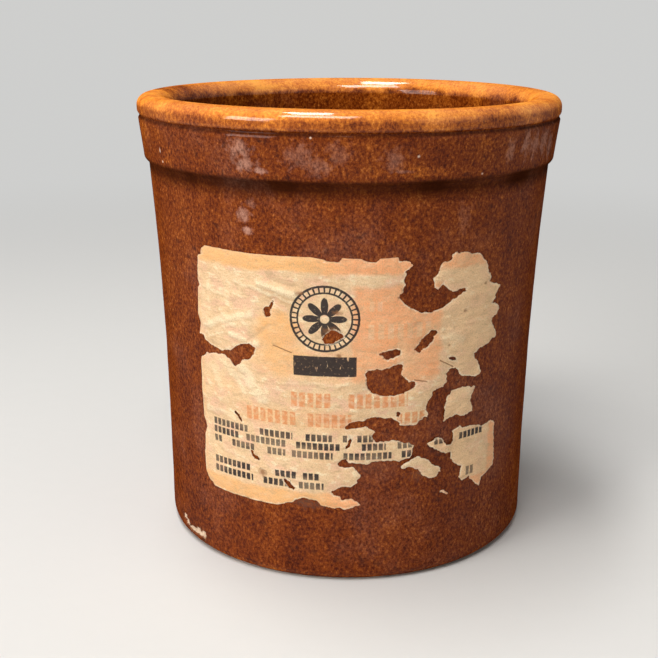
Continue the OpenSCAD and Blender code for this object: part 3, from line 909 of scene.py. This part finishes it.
def makeGlazeMaterial():
    look = glazeLook
    material, tree, shader = newMaterial("brownGlaze")
    place = objectPlace(tree)
    thin, pooledShade = maskOf(tree, "thinGlaze"), maskOf(tree, "pooledGlazeShade")
    within, broken = maskOf(tree, "withinCrock"), maskOf(tree, "brokenEdge")
    inputs = {"Vector": stretched(place, look["squash"]), "Size": look["speckle"],
              "Contrast": look["contrast"]}
    speckle = useGroup(tree, speckleGroup, inputs)
    specks = speckle["Mask"]

    # slow drift from lighter to darker, and runs down the wall
    cloud = noiseOf(place, *look["cloud"])
    runs = noiseOf(stretched(place, look["runStretch"]), *look["runs"])
    mottle = noiseOf(place, *look["mottle"])
    drift = (cloud - 0.5) * look["cloudShare"] + (runs - 0.5) * look["runShare"]
    drift = drift + (mottle - 0.5) * look["mottleShare"]
    tone = clamped(clamped(specks + drift) + within * look["withinShare"])
    # painted shade: the outside wall darkens towards the foot, where less light reaches
    footShade = remap(axesOf(place)[2], *look["footShadeFade"]) * (1.0 - within)
    tone = clamped(tone - footShade * look["footShadeShare"])  # darker towards the foot: painted shade
    colour = colourRamp(tree, tone, look["stops"])
    iron = remap(noiseOf(place, *look["iron"]), *look["ironWindow"])
    colour = blendColour(iron * look["ironShare"], colour, look["ironColour"])

    # thin glaze, and pooled glaze that also paints the shade in the groove and under the collar
    thinTone = tone * look["thinFromTone"] + mottle * look["thinFromMottle"]
    thinTone = clamped(thinTone + (thin * look["thinFromMask"] - look["thinLoss"]))
    thinEdge = thin + (specks - 0.5) * look["edgeSpeckle"] + (mottle - 0.5) * look["edgeMottle"]
    thinShare = remap(thinEdge, *look["edgeWindow"]) * remap(thin, *look["edgeStart"])
    colour = blendColour(thinShare, colour, colourRamp(tree, thinTone, look["thin"]))
    # painted shade in the groove and under the collar, laid as dark pooled glaze
    colour = blendColour(pooledShade * look["pooledShadeShare"], colour, look["pooledShade"])

    # what lies on the glaze, with painted reflections among it, and where it is broken
    # film spots: mostly painted reflections of a ceiling lamp, partly a real film
    film = spotSum(tree, place, filmAndSheenSpots, *look["filmAndSheenGrain"])
    residue = spotSum(tree, place, residueSpots, *look["residueGrain"])
    nick = spotSum(tree, place, nicks, *look["nickGrain"])
    inputs = {"Vector": place, "Size": look["dustSize"], "Amount": look["dustAmount"]}
    dust = useGroup(tree, dustGroup, inputs)
    dustAndSheen = larger(film, dust["Mask"])
    # painted reflections and real dust laid whitish over the glaze
    colour = blendColour(dustAndSheen * remap(specks, *look["filmAndSheenPatchy"]), colour, look["film"])
    colour = blendColour(residue * remap(specks, *look["residuePatchy"]), colour, look["residue"])
    colour = blendColour(nick, colour, look["nick"])
    colour = blendColour(broken * look["brokenShare"], colour, look["broken"])
    feed(tree, colour, shader.inputs["Base Color"])

    dull = look["roughness"] + look["speckRoughness"]
    gloss = remap(specks, 0.0, 1.0, dull, look["roughness"], smooth=False)
    gloss = gloss + larger(dustAndSheen, residue) * look["filmRoughness"]
    feed(tree, gloss, shader.inputs["Roughness"])
    shader.inputs["IOR"].default_value = 1.5
    shader.inputs["Specular IOR Level"].default_value = 0.0  # the clear coat carries all the gloss
    # the rim and the inside are the glassiest
    glassy = larger(larger(thin * look["coatRim"], within * look["coatWithin"]), look["coatLeast"])
    facing = fieldsOf(tree, addNode(tree, "ShaderNodeLayerWeight", {"Blend": 0.5}))["Facing"]
    glassy = glassy * remap(facing, *look["coatSlant"]) * clamped(1.0 - pooledShade)
    feed(tree, glassy, shader.inputs["Coat Weight"])
    shader.inputs["Coat Roughness"].default_value = look["coatRoughness"]
    shader.inputs["Coat IOR"].default_value = look["coatIor"]

    cells = addNode(tree, "ShaderNodeTexVoronoi", {"Vector": place, "Scale": look["pinholes"]})
    cells = fieldsOf(tree, cells)
    relief = noiseOf(place, *look["peel"]) * look["peelShare"] + speckle["Relief"] * look["speckleShare"]
    relief = relief + noiseOf(place, *look["waves"]) * look["waveShare"]
    relief = relief + remap(cells["Distance"], *look["pinWindow"]) * look["pinShare"]
    bumpNormal(tree, shader, relief, look["bumpStrength"], look["bumpDepth"])
    return material


clayLook = {
    "stops": [(0.0, (0.50, 0.345, 0.225)), (0.5, (0.72, 0.525, 0.365)), (1.0, (0.88, 0.70, 0.53))],
    "speckle": 1300.0, "contrast": 0.9,
    "iron": (900.0, 1.0, 0.4), "ironWindow": (0.66, 0.72), "ironShare": 0.7,
    "ironColour": (0.16, 0.075, 0.035, 1),
    "grime": (95.0, 4.0, 0.6), "grimeWindow": (0.42, 0.68), "grimeWear": 0.35, "grimeLeast": 0.12,
    "grimeColour": (0.24, 0.17, 0.12, 1),
    "roughness": (0.85, 0.68), "specular": 0.3, "bumpStrength": 0.9, "bumpDepth": 0.14 * mm,
}


def makeClayMaterial():
    look = clayLook
    material, tree, shader = newMaterial("bareClay")
    place = objectPlace(tree)
    inputs = {"Vector": place, "Size": look["speckle"], "Contrast": look["contrast"]}
    speckle = useGroup(tree, speckleGroup, inputs)
    colour = colourRamp(tree, speckle["Mask"], look["stops"])
    iron = remap(noiseOf(place, *look["iron"]), *look["ironWindow"])
    colour = blendColour(iron * look["ironShare"], colour, look["ironColour"])
    grime = remap(noiseOf(place, *look["grime"]), *look["grimeWindow"])
    worn = maskOf(tree, "footWear") * look["grimeWear"] + look["grimeLeast"]
    colour = blendColour(grime * worn, colour, look["grimeColour"])
    feed(tree, colour, shader.inputs["Base Color"])
    shader.inputs["Specular IOR Level"].default_value = look["specular"]
    feed(tree, remap(speckle["Mask"], 0.0, 1.0, *look["roughness"], smooth=False), shader.inputs["Roughness"])
    bumpNormal(tree, shader, speckle["Relief"], look["bumpStrength"], look["bumpDepth"])
    return material


paperLook = {
    "cream": [(0.0, (0.74, 0.470, 0.250)), (0.45, (0.86, 0.595, 0.345)), (1.0, (0.93, 0.690, 0.430))],
    "orange": (0.93, 0.500, 0.200, 1), "orangePink": (0.97, 0.430, 0.195, 1), "pinkFrom": (-12.0, 2.0),
    # the highlight colour is laid on the ridges of wrinkles and folds as a painted highlight; the darker
    # wrinkle and fold colours are painted shade in their hollows
    "pink": (0.86, 0.520, 0.350, 1), "paintedHighlight": (0.98, 0.830, 0.560, 1), "grimed": (0.97, 0.630, 0.345, 1),
    "foldShade": (0.52, 0.34, 0.20, 1), "dust": (0.50, 0.33, 0.19, 1), "grain": (0.45, 0.27, 0.13, 1),
    "wrinkleShade": (0.50, 0.32, 0.18, 1), "speck": (0.34, 0.20, 0.11, 1), "fibre": (0.95, 0.770, 0.550, 1),
    "ink": (0.020, 0.015, 0.017, 1), "faded": (0.74, 0.290, 0.110, 1), "stain": (0.30, 0.130, 0.050, 1),
    "glued": (0.42, 0.22, 0.10, 1), "underside": (0.55, 0.38, 0.22, 1),
    # noises on the sheet in mm: stretch, then scale, detail, roughness
    "cloud": (0.09, 4.0, 0.55), "fine": (4.5, 3.0, 0.6), "specks": (2.1, 3.0, 0.65),
    "flakes": (1.3, 3.0, 0.6), "fading": (0.9, 4.0, 0.6), "tearing": (1.6, 3.0, 0.6),
    "somewhere": (0.22, 2.0, 0.5),
    "fibreStretch": (0.9, 1.9, 1), "fibres": (1.0, 4.0, 0.65),
    "wrinkleTurn": (0, 0, 0.16), "wrinkleStretch": (0.34, 0.58, 1), "wrinkles": (1.0, 4.0, 0.58),
    "pinkStretch": (0.17, 0.24, 1), "pinkPlace": (3, 8, 0), "pinks": (1.0, 4.0, 0.6),
    "dustStretch": (0.001, 0.001, 1), "dustSize": 140.0, "dustAmount": 0.30,
    "grainStretch": (3.4, 2.2, 1), "grains": (1.0, 2.0, 0.6),
    "smearStretch": (0.06, 0.12, 1), "scratchStretch": (1.1, 0.30, 1), "marks": (1.0, 2.0, 0.5),
    "wobbleScale": 1.1, "wobble": 0.22,
    # what each adds to the tone, and how strongly each is laid over the colour
    "cloudShare": 0.55, "fibreShare": 0.45, "toneWindow": (0.34, 0.66),
    "pinkWindow": (0.47, 0.62, 0.0, 0.70), "wrinkleHighlightWindow": (0.54, 0.68, 0.0, 0.80),
    "wrinkleShadeWindow": (0.46, 0.30, 0.0, 0.40), "speckWindow": (0.60, 0.68, 0.0, 0.6),
    "foldHighlightWindow": (0.12, 0.80, 0.0, 0.90), "foldShadeWindow": (-0.10, -0.90), "foldShadeShare": 0.45,
    "raggedFine": (0.30, 0.56), "raggedWrinkle": (0.34, 0.54, 0.50, 1.0),
    "orangeFibres": (0.25, 0.55, 0.72, 1.0), "paleBars": 0.45, "orangeClean": 0.65,
    "grimeShare": 0.75, "speckLeast": 0.25, "grainWindow": (0.58, 0.34), "grainShare": 0.34,
    "flakeWindow": (0.28, 0.42, 0.70, 1.0), "smearWindow": (0.36, 0.58, 0.74, 1.0),
    "scratchWindow": (0.27, 0.34),
    "fadeWindow": (0.36, 0.58, 0.32, 0.92), "inkShare": 0.97, "tearHalf": 0.16, "tearShare": 0.9,
    "stainRagged": 0.6, "stainGrain": 1.2, "stainShare": 0.8,
    "tearStray": 1.5, "coreWindow": (0.50, 0.15), "somewhereWindow": (0.42, 0.62),
    "coreShare": 0.45, "coreLeast": 0.25,
    "gluedWindow": (0.22, 0.02), "gluedShare": 0.22, "undersideShare": 0.6,
    "gloss": (0.2, 0.8, 0.78, 0.62), "specular": 0.25,
    "fibreRelief": 0.8, "fineRelief": 0.5, "wrinkleRelief": 2.2, "bumpDepth": 0.26 * mm,
}
# rows of plain blocks in mm: middle height, half height, block pitch, share filled, [(start, end), ...]
darkRows = [
    (42.2, 0.96, 1.52, 0.74, [(-40.0, -28.4), (-24.6, -15.2), (-11.6, -4.6), (-1.8, 0.1), (2.0, 6.6)]),
    (39.8, 0.96, 1.50, 0.74, [(-40.0, -31.4), (-28.8, -17.0), (-14.2, -2.4), (3.2, 9.6), (12.8, 17.4)]),
    (37.2, 0.96, 1.50, 0.74, [(-40.0, -37.4), (-33.6, -26.2), (-22.4, -17.2), (-15.4, -4.4),
                              (-1.6, 11.2), (14.0, 17.0)]),
    (31.0, 0.96, 1.56, 0.74, [(-40.0, -27.6), (-20.2, -14.0), (-12.4, -7.8)]),
    (28.3, 0.96, 1.56, 0.74, [(-40.0, -27.0), (-23.8, -15.8), (-13.6, -6.8)]),
    (39.7, 0.96, 1.52, 0.74, [(23.2, 26.6)]),
    (39.6, 0.96, 1.52, 0.74, [(31.4, 40.2)]),
    (28.6, 1.30, 1.55, 0.72, [(34.4, 37.2)]),
]
orangeRows = [
    (52.8, 2.0, 2.2, 0.70, [(-15.4, -4.6), (-0.4, 15.2)]),
    (47.2, 1.9, 2.1, 0.70, [(-28.4, -13.8), (-11.0, 0.4)]),
    (47.4, 1.6, 2.1, 0.70, [(12.4, 20.4)]),
]
paleRows = [
    (78.4, 1.3, 2.0, 0.6, [(4.6, 8.4)]),
    (71.6, 2.0, 2.5, 0.6, [(4.4, 21.0)]),
]
# the seal's place, and in mm its rings, ring of beads and flower
seal = {
    "place": (-6.5, 75.0), "outer": 8.6, "inner": 6.9, "middle": 7.75, "beads": 36, "petals": 8,
    "outerLine": (0.38, 0.22), "innerLine": (0.32, 0.16), "beadEdge": (0.30, 0.75), "beadBand": (0.9, 0.7),
    "petalReach": 3.9, "petalFrom": 1.7, "petalEdge": (-0.15, 0.15), "heart": (1.0, 1.3),
}
bars = [(62.2, 2.7, 40.0, 1.2, [(-14.6, 1.6)])]  # one plain bar, as a row with a single block
tears = [(-20.0, 67.0, -15.1, 65.5), (24.0, 62.4, 28.2, 60.0), (17.0, 57.8, 20.4, 57.0)]
stains = [
    (-3.2, 76.8, 1.4, 0.8), (-4.8, 71.4, 3.0, 1.7), (-2.8, 65.3, 0.9, 0.8), (-24.0, 30.4, 1.5, 1.6),
    (26.6, 66.2, 0.5, 0.4), (-12.8, 81.6, 1.3, 0.7), (31.0, 75.0, 0.8, 0.6), (37.5, 81.5, 0.7, 0.5),
]


def lineMask(tree, s, z, piece, half):
    # 1 on a straight line piece: the distance to it, from the share along it
    s0, z0, s1, z1 = piece
    ds, dz = s1 - s0, z1 - z0
    size = ds * ds + dz * dz
    relS, relZ = s - s0, z - z0
    dot = clamped(relS * (ds / size) + relZ * (dz / size))
    offS = relS - dot * ds
    offZ = relZ - dot * dz
    far = calcNode(tree, "SQRT", offS * offS + offZ * offZ)
    return remap(far, half * 1.5, half * 0.5)


def sealMask(tree, s, z):
    # a plain round seal: a ring of beads between two thin rings, and a flower whose petals reach out
    # by the cosine of the angle times half their number
    relS, relZ = s - seal["place"][0], z - seal["place"][1]
    radius = calcNode(tree, "SQRT", relS * relS + relZ * relZ)
    angle = calcNode(tree, "ARCTAN2", relZ, relS)
    ringOut = remap(abs(radius - seal["outer"]), *seal["outerLine"])
    ringIn = remap(abs(radius - seal["inner"]), *seal["innerLine"])
    bead = remap(calcNode(tree, "COSINE", angle * float(seal["beads"])), *seal["beadEdge"])
    bead = bead * remap(abs(radius - seal["middle"]), *seal["beadBand"])
    petal = abs(calcNode(tree, "COSINE", angle * (seal["petals"] / 2)))
    flower = remap(petal * seal["petalReach"] + seal["petalFrom"] - radius, *seal["petalEdge"])
    flower = flower * remap(radius, *seal["heart"])
    return larger(larger(larger(ringOut, ringIn), bead), flower)


def rowSum(tree, sheet, rows):
    masks = []
    for level, half, pitch, fill, spans in rows:
        for start, end in spans:
            inputs = {"Sheet": sheet, "Start": start, "End": end, "Level": level, "Half": half,
                      "Pitch": pitch, "Fill": fill}
            masks.append(useGroup(tree, inkGroup, inputs)["Mask"])
    return strongest(masks)


def makePaperMaterial():
    look = paperLook
    material, tree, shader = newMaterial("labelPaper")
    # sheet coordinates in mm: x is s, the distance round the body, y is the height
    sheetMap = Field(tree, addNode(tree, "ShaderNodeUVMap", uv_map="sheetMap").outputs[0])
    sheet = stretched(sheetMap, (100, 100, 1), (-50, 0, 0))
    gap, orange = maskOf(tree, "edgeGap"), maskOf(tree, "orangePrint")
    grimed, torn = maskOf(tree, "grimed"), maskOf(tree, "tornEdge")
    foldMarks, under = maskOf(tree, "foldHighlightShade"), maskOf(tree, "undersideMask")

    fibres = noiseOf(stretched(sheet, look["fibreStretch"]), *look["fibres"])
    fine = noiseOf(sheet, *look["fine"])
    tone = noiseOf(sheet, *look["cloud"]) * look["cloudShare"] + fibres * look["fibreShare"]
    colour = colourRamp(tree, remap(tone, *look["toneWindow"], smooth=False), look["cream"])
    # blotches: pinkish where the glue came through, and pale on the wrinkles' ridges as a painted highlight
    turned = addNode(tree, "ShaderNodeMapping", {"Vector": sheet, "Rotation": look["wrinkleTurn"]})
    wrinkles = noiseOf(stretched(Field(tree, turned.outputs[0]), look["wrinkleStretch"]), *look["wrinkles"])
    pinks = noiseOf(stretched(sheet, look["pinkStretch"], look["pinkPlace"]), *look["pinks"])
    colour = blendColour(remap(pinks, *look["pinkWindow"]), colour, look["pink"])
    colour = blendColour(remap(wrinkles, *look["wrinkleHighlightWindow"]), colour, look["paintedHighlight"])
    # the orange print, with the pale blocks left out of it, and grime where it leaves the paper plain
    orangeAll = orange * remap(fibres, *look["orangeFibres"])
    orangeAll = orangeAll * (1.0 - rowSum(tree, sheet, paleRows) * look["paleBars"])
    orangeTone = blendColour(remap(axesOf(sheet)[0], *look["pinkFrom"]), look["orange"], look["orangePink"])
    colour = blendColour(orangeAll, colour, orangeTone)
    plain = clamped(1.0 - orangeAll * look["orangeClean"])
    colour = blendColour(grimed * look["grimeShare"] * plain, colour, look["grimed"])
    # folds: pale on the ridge, a painted highlight with some rubbed wear, and dark in the valley, a painted
    # shade
    ragged = remap(fine, *look["raggedFine"]) * remap(wrinkles, *look["raggedWrinkle"])
    colour = blendColour(remap(foldMarks, *look["foldHighlightWindow"]) * ragged, colour, look["paintedHighlight"])
    colour = blendColour(remap(foldMarks, *look["foldShadeWindow"]) * look["foldShadeShare"], colour, look["foldShade"])

    inputs = {"Vector": stretched(sheet, look["dustStretch"]), "Size": look["dustSize"],
              "Amount": look["dustAmount"]}
    dust = useGroup(tree, dustGroup, inputs)
    colour = blendColour(dust["Mask"], colour, look["dust"])
    grains = noiseOf(stretched(sheet, look["grainStretch"]), *look["grains"])
    colour = blendColour(remap(grains, *look["grainWindow"]) * look["grainShare"], colour, look["grain"])
    # painted shade in the hollows of the wrinkles
    colour = blendColour(remap(wrinkles, *look["wrinkleShadeWindow"]), colour, look["wrinkleShade"])
    specks = remap(noiseOf(sheet, *look["specks"]), *look["speckWindow"])
    colour = blendColour(specks * (grimed * look["grimeShare"] + look["speckLeast"]), colour, look["speck"])

    # worn ink: the blocks lose their corners and flakes
    wobble = addNode(tree, "ShaderNodeTexNoise", {"Vector": sheet, "Scale": look["wobbleScale"]}).outputs[1]
    push = vectorNode(tree, "SUBTRACT", wobble, (0.5, 0.5, 0.5))
    push = vectorNode(tree, "SCALE", push, Scale=look["wobble"])
    moved = vectorNode(tree, "ADD", sheet, push)
    inkS, inkZ, _ = axesOf(moved)
    flakes = remap(noiseOf(sheet, *look["flakes"]), *look["flakeWindow"])
    smear = remap(noiseOf(stretched(sheet, look["smearStretch"]), *look["marks"]), *look["smearWindow"])
    scratches = noiseOf(stretched(sheet, look["scratchStretch"]), *look["marks"])
    scratches = remap(scratches, *look["scratchWindow"])
    emblem = larger(sealMask(tree, inkS, inkZ), rowSum(tree, moved, bars) * scratches)
    dark = larger(rowSum(tree, moved, darkRows) * (flakes * smear), emblem * flakes)
    faded = rowSum(tree, moved, orangeRows) * remap(noiseOf(sheet, *look["fading"]), *look["fadeWindow"])
    colour = blendColour(faded, colour, look["faded"])
    colour = blendColour(dark * look["inkShare"], colour, look["ink"])

    for tear in tears:
        mask = lineMask(tree, inkS, inkZ, tear, look["tearHalf"])
        colour = blendColour(mask * look["tearShare"], colour, look["stain"])
    stained = []
    for spotS, spotZ, wide, high in stains:
        inputs = {"Vector": sheet, "Centre": (spotS, spotZ, 0), "Size": (wide, high, 1),
                  "Ragged": look["stainRagged"], "Grain": look["stainGrain"]}
        stained.append(useGroup(tree, spotGroup, inputs)["Mask"])
    colour = blendColour(strongest(stained) * look["stainShare"], colour, look["stain"])

    # a torn edge shows the pale core, and the very edge is stained by the glue
    strayed = gap + (noiseOf(sheet, *look["tearing"]) - 0.5) * look["tearStray"]
    core = remap(strayed, *look["coreWindow"]) * torn
    somewhere = remap(noiseOf(sheet, *look["somewhere"]), *look["somewhereWindow"])
    colour = blendColour(core * (somewhere * look["coreShare"] + look["coreLeast"]), colour, look["fibre"])
    colour = blendColour(remap(gap, *look["gluedWindow"]) * look["gluedShare"], colour, look["glued"])
    colour = blendColour(under * look["undersideShare"], colour, look["underside"])
    feed(tree, colour, shader.inputs["Base Color"])
    feed(tree, remap(fine, *look["gloss"], smooth=False), shader.inputs["Roughness"])
    shader.inputs["Specular IOR Level"].default_value = look["specular"]
    relief = fibres * look["fibreRelief"] + fine * look["fineRelief"] + wrinkles * look["wrinkleRelief"]
    bumpNormal(tree, shader, relief, 1.0, look["bumpDepth"])
    return material


glazeCoat.data.materials.append(makeGlazeMaterial())
clayBody.data.materials.append(makeClayMaterial())
paperMaterial = makePaperMaterial()
for piece in paperObjects.values():
    piece.data.materials.append(paperMaterial)
print("materials: made")


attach(glazeCoat, "root")
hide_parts("glaze_coat")
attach(clayBody, "root")
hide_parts("clay_body")
for name, piece in paperObjects.items():
    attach(piece, "root")
    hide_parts(labelPieces[name])


studio = {
    "floorColour": (0.70, 0.695, 0.68, 1), "floorSpeck": (0.55, 0.55, 0.54, 1), "floorSpeckShare": 0.10,
    "floorReach": 6.0, "floorLines": 41,
    "floorFade": (0.12, 0.70),  # m from the middle, where the floor starts and ends to turn into background
    "floorGrain": (160.0, 4.0, 0.6), "floorRoughness": 0.75, "floorSpecular": 0.2,
    "backColour": (0.62, 0.62, 0.61, 1),
    "worldLight": 0.255,
}


def seenRays(tree):
    # 1 for rays that see the background, straight or in a reflection, 0 for those that light the crock
    rays = fieldsOf(tree, addNode(tree, "ShaderNodeLightPath"))
    return clamped(rays["Is Camera Ray"] + (rays["Is Glossy Ray"] + rays["Is Transmission Ray"]))


def makeStage():
    lines = studio["floorLines"]
    across = np.linspace(-1, 1, lines)
    x, y = np.meshgrid(across * studio["floorReach"], across * studio["floorReach"], indexing="ij")
    points = np.stack([x, y, x * 0], -1).reshape(-1, 3)
    index = np.arange(lines * lines).reshape(lines, lines)
    quads = np.stack([index[:-1, :-1], index[1:, :-1], index[1:, 1:], index[:-1, 1:]], -1).reshape(-1, 4)
    floor = meshObject("studioFloor", points, quads.tolist())
    material, tree, shader = newMaterial("paleFloor")
    place = objectPlace(tree)
    grain = noiseOf(place, *studio["floorGrain"])
    shade = blendColour(grain * studio["floorSpeckShare"], studio["floorColour"], studio["floorSpeck"])
    feed(tree, shade, shader.inputs["Base Color"])
    shader.inputs["Roughness"].default_value = studio["floorRoughness"]
    shader.inputs["Specular IOR Level"].default_value = studio["floorSpecular"]
    bumpNormal(tree, shader, grain, 0.3, 0.2 * mm)
    # away from the crock the floor turns into the plain pale background
    away = vectorNode(tree, "LENGTH", place, output="Value")
    share = remap(away, *studio["floorFade"]) * seenRays(tree)
    glow = addNode(tree, "ShaderNodeEmission", {0: studio["backColour"], 1: 1.0})
    mixed = addNode(tree, "ShaderNodeMixShader", {0: share, 1: shader.outputs[0], 2: glow.outputs[0]})
    feed(tree, mixed.outputs[0], tree.nodes["Material Output"].inputs[0])
    floor.data.materials.append(material)

    world = bpy.data.worlds.new("paleStudio")
    bpy.context.scene.world = world
    world.use_nodes = True
    tree = world.node_tree
    background = tree.nodes["Background"]
    background.inputs[0].default_value = studio["backColour"]
    seen = seenRays(tree)
    strength = seen * (1 - studio["worldLight"]) + studio["worldLight"]
    feed(tree, strength, background.inputs[1])


# area lamps: place and aim in m, size across and along in m, power in W, colour
lamps = {
    "keyLight": ((-0.87, -0.66, 0.44), (0, 0, 0.06), (0.50, 0.50), 6.9, (1.0, 0.965, 0.92)),
    "fillLight": ((0.85, -0.60, 0.45), (0, 0, 0.06), (0.80, 0.80), 0.70, (1.0, 0.98, 0.96)),
    "topLight": ((-0.19, 0.02, 1.12), (0, 0, 0.1), (0.50, 0.22), 5.5, (1.0, 0.99, 0.98)),
    "rimLight": ((-0.22, -0.56, 1.05), (0, 0, 0.1), (0.60, 0.38), 7.2, (1.0, 0.98, 0.95)),
}


def makeLamps():
    for name, (place, target, size, power, colour) in lamps.items():
        light = bpy.data.lights.new(name, "AREA")
        light.shape = "RECTANGLE"
        light.size, light.size_y = size
        light.energy = power
        light.color = colour
        lamp = bpy.data.objects.new(name, light)
        bpy.context.scene.collection.objects.link(lamp)
        lamp.location = place
        aim = np.array(target) - np.array(place)
        yaw, drop = math.atan2(aim[0], -aim[1]), math.atan2(math.hypot(aim[0], aim[1]), -aim[2])
        lamp.rotation_euler = (drop, 0, math.pi + yaw)


makeStage()
makeLamps()

view = {"place": (-5.48 * mm, -319.6 * mm, 151.84 * mm), "down": 16.73, "turn": 0.178, "lens": 59.7}


def makeCamera():
    camera = bpy.data.cameras.new("viewCamera")
    camera.lens = view["lens"]
    camera.sensor_width = 36
    camera.clip_start = 0.01
    camera.clip_end = 50
    holder = bpy.data.objects.new("viewCamera", camera)
    bpy.context.scene.collection.objects.link(holder)
    holder.location = view["place"]
    tilt = math.radians(90 - view["down"])
    turned = Euler((tilt, 0, 0)).to_matrix() @ Matrix.Rotation(math.radians(view["turn"]), 3, "Z")
    holder.rotation_euler = turned.to_euler()
    bpy.context.scene.camera = holder


makeCamera()
bpy.context.scene.view_settings.view_transform = "Standard"
print("stage: made")
